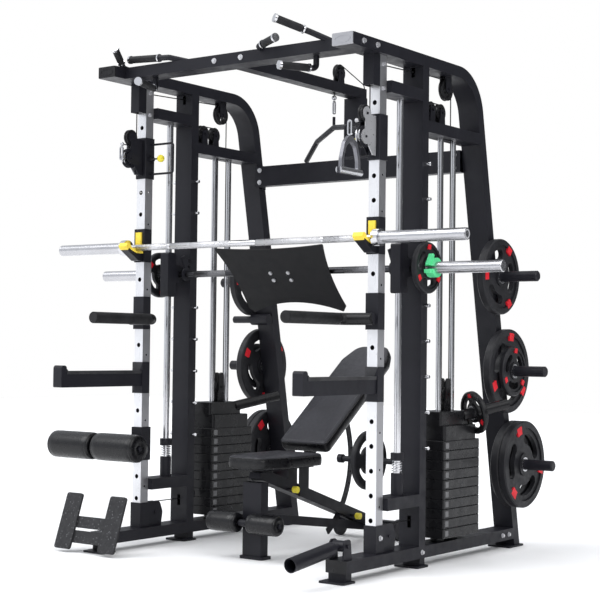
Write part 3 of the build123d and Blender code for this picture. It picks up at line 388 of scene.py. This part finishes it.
def wedge(r0, r1, mid, half, n=6):
    """Outline of a ring sector in mm, half degrees to each side of mid."""
    out = []
    for r, angles in ((r1, range(-n, n + 1)), (r0, range(n, -n - 1, -1))):
        for k in angles:
            a = math.radians(mid + half * k / n)
            out.append((r * math.cos(a), r * math.sin(a)))
    return out


# ---- plates: red patches between the grips, and a steel ring round the hole ------------------------
def dress_plate(m, d, t, patches, rings, bore=25.6):
    r = d / 2
    floor = t / 2 - t * 0.2
    for s in SIDES:
        face = m if s > 0 else m @ Matrix.Rotation(math.pi, 4, "X")
        for i in range(3):
            mid = (30 + 120 * i) * s
            patches.append(slab(face, wedge(r * 0.72, r * 0.91, mid, 7.5), floor - 0.2, t / 2 + 0.7))
        rings.append(annulus(face, bore, bore + 7, t / 2 - 0.5, t / 2 + 0.6))


def axis_frame(x, y, z, s, turn):
    return Matrix.Translation(place(x, y, z)) @ Matrix.Rotation(math.radians(90 * s), 4, "Y") \
        @ Matrix.Rotation(math.radians(turn), 4, "Z")


patches, rings = [], []
for s in SIDES:
    for i, (z, plates) in enumerate(STORED.items()):
        x = HALF + 52
        for d, t in plates:
            dress_plate(axis_frame(s * (x + t / 2), post_mid(z), z, s, 25 * i), d, t, patches, rings)
            x += t + 0.5
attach(merged("stored_plate_patches", patches, RED), "frame")
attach(merged("stored_plate_rings", rings, STEEL), "frame")

patches, rings = [], []
for s in SIDES:
    dress_plate(axis_frame(s * SMITH_PLATE_X, SMITH_Y, SMITH_Z, s, 30), *SMITH_PLATE, patches, rings)
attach(merged("smith_plate_patches", patches, RED), "smith_bar")
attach(merged("smith_plate_rings", rings, STEEL), "smith_bar")

horn = Vector((math.sin(HORN_OUT) * math.cos(HORN_UP),
               math.cos(HORN_OUT) * math.cos(HORN_UP), math.sin(HORN_UP)))
across = Vector((horn.y, -horn.x, 0)).normalized()
m = Matrix((across, horn.cross(across), horn)).transposed().to_4x4()
m.translation = place(*HORN_ROOT) + horn * (PLATE_ALONG_HORN / 1000)
patches, rings = [], []
dress_plate(m, *HEAD_PLATE, patches, rings)
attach(merged("head_plate_patches", patches, RED), "stack_head_r")
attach(merged("head_plate_rings", rings, STEEL), "stack_head_r")

# ---- weight stacks: blank label squares on the plate edges -----------------------------------------
labels, holes = [], []
for s in SIDES:
    for i in range(STACK_N):
        z = STACK_Z0 + STACK_STEP * (i + 0.5)
        for k in SIDES:
            x, turned = s * HALF + k * STACK_HALF_W, Matrix.Rotation(k * math.pi / 2, 4, "Y")
            m = Matrix.Translation(place(x, STACK_LABEL_Y, z)) @ turned
            labels.append(slab(m, ((-12, -13), (12, -13), (12, 13), (-12, 13)), -0.2, 0.6))
            m = Matrix.Translation(place(x, STACK_PIN_Y, z)) @ turned
            holes.append(annulus(m, 5.5, 8.5, -0.3, 0.5, 24))
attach(merged("stack_labels", labels, LABEL), "frame")
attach(merged("stack_pin_rings", holes, GUNMETAL), "frame")

# ---- cushions --------------------------------------------------------------------------------------
def rounded(corners, step=9):
    """Closed outline in mm with rounded corners (x, y, radius), evenly stepped."""
    out = []
    n = len(corners)
    for i, (x, y, r) in enumerate(corners):
        p = Vector((x, y))
        u = (Vector(corners[i - 1][:2]) - p).normalized()
        v = (Vector(corners[(i + 1) % n][:2]) - p).normalized()
        half = u.angle(v) / 2
        t = r / math.tan(half)
        c = p + (u + v).normalized() * (r / math.sin(half))
        a, b = p + u * t - c, p + v * t - c
        sweep = a.angle_signed(b) * -1
        m = max(2, int(abs(sweep) * r / step) + 1)
        out += [c + Matrix.Rotation(sweep * k / m, 2) @ a for k in range(m + 1)]
    dense = []
    for i, p in enumerate(out):
        q = out[(i + 1) % len(out)]
        m = max(1, round((q - p).length / step))
        dense += [p.lerp(q, k / m) for k in range(m)]
    return dense


def normals(ring):
    n = len(ring)
    out = []
    for i in range(n):
        t = (ring[(i + 1) % n] - ring[i - 1]).normalized()
        out.append(Vector((t.y, -t.x)))
    area = sum(ring[i].cross(ring[(i + 1) % n]) for i in range(n))
    return [q if area > 0 else -q for q in out]


BOX_FACES = [(0, 3, 2, 1), (4, 5, 6, 7), (0, 1, 5, 4), (1, 2, 6, 5), (2, 3, 7, 6), (3, 0, 4, 7)]


def cushion(name, body, m, corners, lo, hi, crown):
    """Crowned pad: boxed sides that belly out, a piped seam, a domed top panel and a stitch line."""
    ring = rounded(corners)
    nor = normals(ring)
    mid = sum(ring, Vector((0, 0))) / len(ring)
    h = hi - lo
    rows = [(-5, 0.0), (-1.5, 0.03), (0.6, 0.16), (1.6, 0.36), (1.6, 0.55), (0.4, 0.7), (-1.6, 0.765),
            (-0.2, 0.79), (0.2, 0.82), (-0.4, 0.85), (-2.6, 0.862), (-3.4, 0.9), (-7, 0.945),
            (-12, 0.975), (-18, 0.99)]
    top_row = 10    # rows from here on are the top panel, and those before it the side cloth
    verts, faces, kinds = [], [], []
    n = len(ring)

    def add(points, z):
        verts.extend(m @ Vector((p.x / 1000, p.y / 1000, z / 1000)) for p in points)

    for off, share in rows:
        add([p + q * off for p, q in zip(ring, nor)], lo + h * share)
    edge = [p + q * rows[-1][0] for p, q in zip(ring, nor)]
    steps = 12
    for k in range(1, steps):
        s = 1 - k / steps
        wave = 0.35 * math.sin(k * 1.7)
        add([mid + (p - mid) * s for p in edge], lo + h * 0.99 + crown * (1 - s ** 3.2) + wave)
    add([mid], lo + h * 0.99 + crown)
    total = len(rows) + steps - 1
    for k in range(total - 1):
        for i in range(n):
            j = (i + 1) % n
            faces.append((k * n + i, k * n + j, (k + 1) * n + j, (k + 1) * n + i))
            kinds.append(0 if k >= top_row else 1)
    top = total * n
    for i in range(n):
        faces.append(((total - 1) * n + i, (total - 1) * n + (i + 1) % n, top))
        kinds.append(0)
    faces.append(tuple(range(n))[::-1])
    kinds.append(1)
    pad = mesh(name, verts, faces, (VINYL, VINYL_SIDE))
    for p, kind in zip(pad.data.polygons, kinds):
        p.material_index = kind
        p.use_smooth = len(p.vertices) < 10
    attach(pad, body)
    line = [p + q * -15 for p, q in zip(ring, nor)]
    stitches = []
    for i in range(n):
        p, q = line[i], line[(i + 1) % n]
        d = (q - p).normalized()
        w = Vector((-d.y, d.x)) * 0.6
        a, b = p.lerp(q, 0.18), p.lerp(q, 0.78)
        z = lo + h * 0.984
        box = [(a - w, z), (b - w, z), (b + w, z), (a + w, z)]
        verts = [m @ Vector((c.x / 1000, c.y / 1000, (v + up) / 1000)) for up in (-0.6, 0.9) for c, v in box]
        stitches.append((verts, BOX_FACES))
    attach(merged(name + "_stitching", stitches, THREAD), body)


def keep_only(name, test):
    """Shows only the part of a node whose vertices pass a test, given in mm."""
    o = nodes[name]
    g = o.vertex_groups.new(name="shown")
    pick = [v.index for v in o.data.vertices
            if test(v.co.x * 1000, (v.co.y - FRONT) * 1000, v.co.z * 1000)]
    g.add(pick, 1.0, "REPLACE")
    mod = o.modifiers.new("shown", "MASK")
    mod.vertex_group = "shown"


SEAT = ((-92, -22, 40), (92, -22, 40), (130, 120, 60), (130, 388, 22), (-130, 388, 22), (-130, 120, 60))
BACK = ((-130, 40, 20), (130, 40, 20), (130, 668, 60), (88, 775, 60), (-88, 775, 60), (-130, 668, 60))
keep_only("bench_seat", lambda x, y, z: z < 391.5 or (z < 392.5 and abs(x) < 95.5 and 19 < y < 371))
cushion("seat_cushion", "bench", Matrix.Translation(place(0, 0, 0)), SEAT, 392, 446, 5)

ba = math.radians(BACK_ANGLE)
back_frame = Matrix.Translation(place(0, HINGE_Y, HINGE_Z)) @ Matrix.Rotation(ba, 4, "X")


def in_back(y, z):
    """Distance up the backrest and out of it, in mm."""
    u, v = y - HINGE_Y, z - HINGE_Z
    return u * math.cos(ba) + v * math.sin(ba), v * math.cos(ba) - u * math.sin(ba)


def back_steel(x, y, z):
    up, out = in_back(y, z)
    return out < -0.5 or (out < 0.5 and abs(x) < 90.5 and 59 < up < 641)


keep_only("bench_back", back_steel)
cushion("back_cushion", "bench_back", back_frame, BACK, 0.3, 56, 6)


def roller(name, body, y, z, x0, x1, r, bore, node):
    """Foam roll in vinyl: soft shoulders, a seam ring near each end and gathered ends."""
    half = (x1 - x0) / 2
    mid = (x0 + x1) / 2
    prof = [(-half + 3, bore + 0.4), (-half + 1.5, bore + 9), (-half + 0.2, r * 0.45), (-half, r * 0.66),
            (-half + 1.6, r * 0.82), (-half + 5, r * 0.92), (-half + 10, r * 0.972), (-half + 15, r * 0.988),
            (-half + 17, r * 0.975), (-half + 19, r * 0.991), (-half + 40, r * 0.998), (0, r)]
    prof += [(-a, b) for a, b in prof[-2::-1]]
    n = 64
    verts, faces = [], []
    c = place(mid, y, z)
    for i, (along, rad) in enumerate(prof):
        for k in range(n):
            a = 2 * math.pi * k / n
            gather = 0.6 * math.cos(a * 16) if i in (2, 3, len(prof) - 4, len(prof) - 3) else 0
            rr = (rad + gather) / 1000
            verts.append(c + Vector((along / 1000, rr * math.cos(a), rr * math.sin(a))))
    m = len(prof)
    for i in range(m):
        for k in range(n):
            j = (k + 1) % n
            faces.append((i * n + k, i * n + j, (i + 1) % m * n + j, (i + 1) % m * n + k))
    o = mesh(name, verts, faces, VINYL_SIDE)
    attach(o, body)
    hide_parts(node)


roller("leg_roller_inner", "leg_roller_pair", -90, 453, -801, -541, 63, 11.4, "leg_rollers")
roller("leg_roller_outer", "leg_roller_pair", -90, 453, -1076, -815, 63, 11.4, "leg_rollers")
for s in SIDES:
    lo, hi = sorted((s * 30, s * 188))
    roller("bench_roller_" + "lr"[s > 0], "bench_rollers", -12, 160, lo, hi, 44, 9.4, "bench_rollers")


# ---- copies of the stack and trolley cables --------------------------------------------------------
def strand(name, body, top, low):
    """Copy of a CAD cable in the coated-cable finish, with the CAD cable hidden; body, top and low are not
    used.
    """
    o = nodes[name].copy()
    o.data = nodes[name].data.copy()
    o.name = name + "_strand"
    for key in list(o.keys()):
        del o[key]
    o.parent = None
    o.matrix_world = Matrix.Identity(4)
    bpy.context.scene.collection.objects.link(o)
    o.data.materials.clear()
    o.data.materials.append(CABLE)
    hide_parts(name)
    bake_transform(o)


for side in "lr":
    strand("stack_cable_" + side, "stack_head_" + side, *STACK_CABLE)
    strand("trolley_cable_" + side, "trolley_" + side, *TROLLEY_CABLE)


# ---- grips, knurls and bar ends --------------------------------------------------------------------
def ring_on_bar(y, z, x, r0, r1, w):
    m = Matrix.Translation(place(x, y, z)) @ Matrix.Rotation(math.pi / 2, 4, "Y")
    return annulus(m, r0, r1, -w / 2, w / 2, 64)


def sleeve(y, z, x0, x1, r):
    m = Matrix.Translation(place(0, y, z)) @ Matrix.Rotation(math.pi / 2, 4, "Y")
    return annulus(m, r - 0.8, r, x0, x1, 64)


bar = [sleeve(BAR_Y, BAR_Z, x0, x1, 14.15) for x0, x1 in ((-620, -425), (-415, -70), (70, 415), (425, 620))]
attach(merged("barbell_knurl", bar, KNURL, True), "barbell")
bar = [sleeve(SMITH_Y, SMITH_Z, x0, x1, 15.15) for x0, x1 in ((-520, -330), (330, 520))]
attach(merged("smith_knurl", bar, SMITH_KNURL, True), "smith_bar")
ends = []
for s in SIDES:
    ends += [ring_on_bar(BAR_Y, BAR_Z, s * (SLEEVE_RINGS_X + k * 5), 24.9, 25.25, 1.2) for k in range(3)]
    m = Matrix.Translation(place(s * BAR_END, BAR_Y, BAR_Z)) @ Matrix.Rotation(s * math.pi / 2, 4, "Y")
    ends.append(annulus(m, 14, 19, -0.2, 0.8, 48))
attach(merged("barbell_end_rings", ends, ZINC, True), "barbell_sleeves")

SILVER_GRIP_ENDS = (
    ((-606, -165, 2166), (-575, -252, 2230)), ((-325, -177, 2182), (-560, -162, 2199)),
    ((187, -195, 2168), (300, -236, 2183)), ((470, -217, 2190), (393, -345, 2230)),
    ((-452, -120, 2062), (-378, -309, 2060)), ((430, -120, 2062), (359, -266, 2060)))


def on_grip_metal(x, y, z):
    """True on the ring and the end knob of a pull-up handle."""
    p = Vector((x, y, z))
    for a, b in SILVER_GRIP_ENDS:
        a, b = Vector(a), Vector(b)
        v = (b - a).normalized()
        start = max(34, (b - a).length - 175)
        along = (p - a).dot(v)
        if (p - a - v * along).length < 30 and -10 < along < (b - a).length + 20:
            return along < start + 3 or along > (b - a).length + 0.4
    return False


paint("handle_grips", GRIP, (on_grip_metal, CHROME))

# ---- floor, light, camera --------------------------------------------------------------------------
def flat(name, colour, rough):
    f = Finish(name, colour, rough)
    f.tone(f.noise(0.8, 3), [c * 0.985 for c in colour])
    return f.m


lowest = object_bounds()[0].z
floor = mesh("floor", [(-14, -14, 0), (14, -14, 0), (14, 14, 0), (-14, 14, 0)], [(0, 1, 2, 3)],
             flat("pale_floor", (0.93, 0.93, 0.935), 0.75))
floor.location.z = lowest - 0.0006


def studio(bright, dim, toward, backdrop):
    """Soft white room, brighter on one side; the backdrop itself stays plain white."""
    world = bpy.data.worlds.new("studio")
    bpy.context.scene.world = world
    world.use_nodes = True
    t = world.node_tree
    glow = t.nodes["Background"]
    coord = t.nodes.new("ShaderNodeTexCoord")
    dot = t.nodes.new("ShaderNodeVectorMath")
    dot.operation = "DOT_PRODUCT"
    dot.inputs[1].default_value = Vector(toward).normalized()
    level = t.nodes.new("ShaderNodeMapRange")
    level.interpolation_type = "SMOOTHSTEP"
    for key, v in (("From Min", -0.75), ("From Max", 0.85), ("To Min", dim), ("To Max", bright)):
        level.inputs[key].default_value = v
    t.links.new(coord.outputs["Generated"], dot.inputs[0])
    t.links.new(dot.outputs["Value"], level.inputs["Value"])
    t.links.new(level.outputs["Result"], glow.inputs["Strength"])
    plain = t.nodes.new("ShaderNodeBackground")
    plain.inputs["Strength"].default_value = backdrop
    ray = t.nodes.new("ShaderNodeLightPath")
    mix = t.nodes.new("ShaderNodeMixShader")
    glow.inputs["Color"].default_value = (0.92, 0.95, 1, 1)
    plain.inputs["Color"].default_value = (1, 1, 1, 1)
    t.links.new(ray.outputs["Is Camera Ray"], mix.inputs[0])
    t.links.new(glow.outputs[0], mix.inputs[1])
    t.links.new(plain.outputs[0], mix.inputs[2])
    t.links.new(mix.outputs[0], t.nodes["World Output"].inputs["Surface"])


def soft_sun(name, toward, power, spread):
    data = bpy.data.lights.new(name, "SUN")
    data.energy, data.angle = power, math.radians(spread)
    o = bpy.data.objects.new(name, data)
    o.rotation_euler = Vector(toward).to_track_quat("Z", "Y").to_euler()
    bpy.context.scene.collection.objects.link(o)


studio(1.0, 0.12, (-0.62, -0.72, 0.3), 1.0)
soft_sun("key", (-0.55, -0.75, 1.15), 1.5, 40)
soft_sun("side", (0.9, -0.3, 0.7), 1.4, 50)
soft_sun("top", (0.1, 0.1, 1.0), 1.0, 80)
bpy.context.scene.view_settings.view_transform = "Standard"

CAM_AT = (3826.3, -4859.3, 917.4)
AZIMUTH, PITCH, ROLL, LENS = math.radians(36.17), math.radians(1.90), math.radians(0.672), 85.74
forward = Vector((-math.sin(AZIMUTH) * math.cos(PITCH), math.cos(AZIMUTH) * math.cos(PITCH), math.sin(PITCH)))
right = Vector((math.cos(AZIMUTH), math.sin(AZIMUTH), 0))
up = right.cross(forward)
cam_x = right * math.cos(ROLL) + up * math.sin(ROLL)
cam_y = up * math.cos(ROLL) - right * math.sin(ROLL)
cam = bpy.data.objects.new("camera", bpy.data.cameras.new("camera"))
cam.matrix_world = Matrix.Translation(place(*CAM_AT)) @ Matrix((cam_x, cam_y, -forward)).transposed().to_4x4()
cam.data.lens = LENS
cam.data.sensor_width = 36
cam.data.clip_end = 60
bpy.context.scene.collection.objects.link(cam)
bpy.context.scene.camera = cam
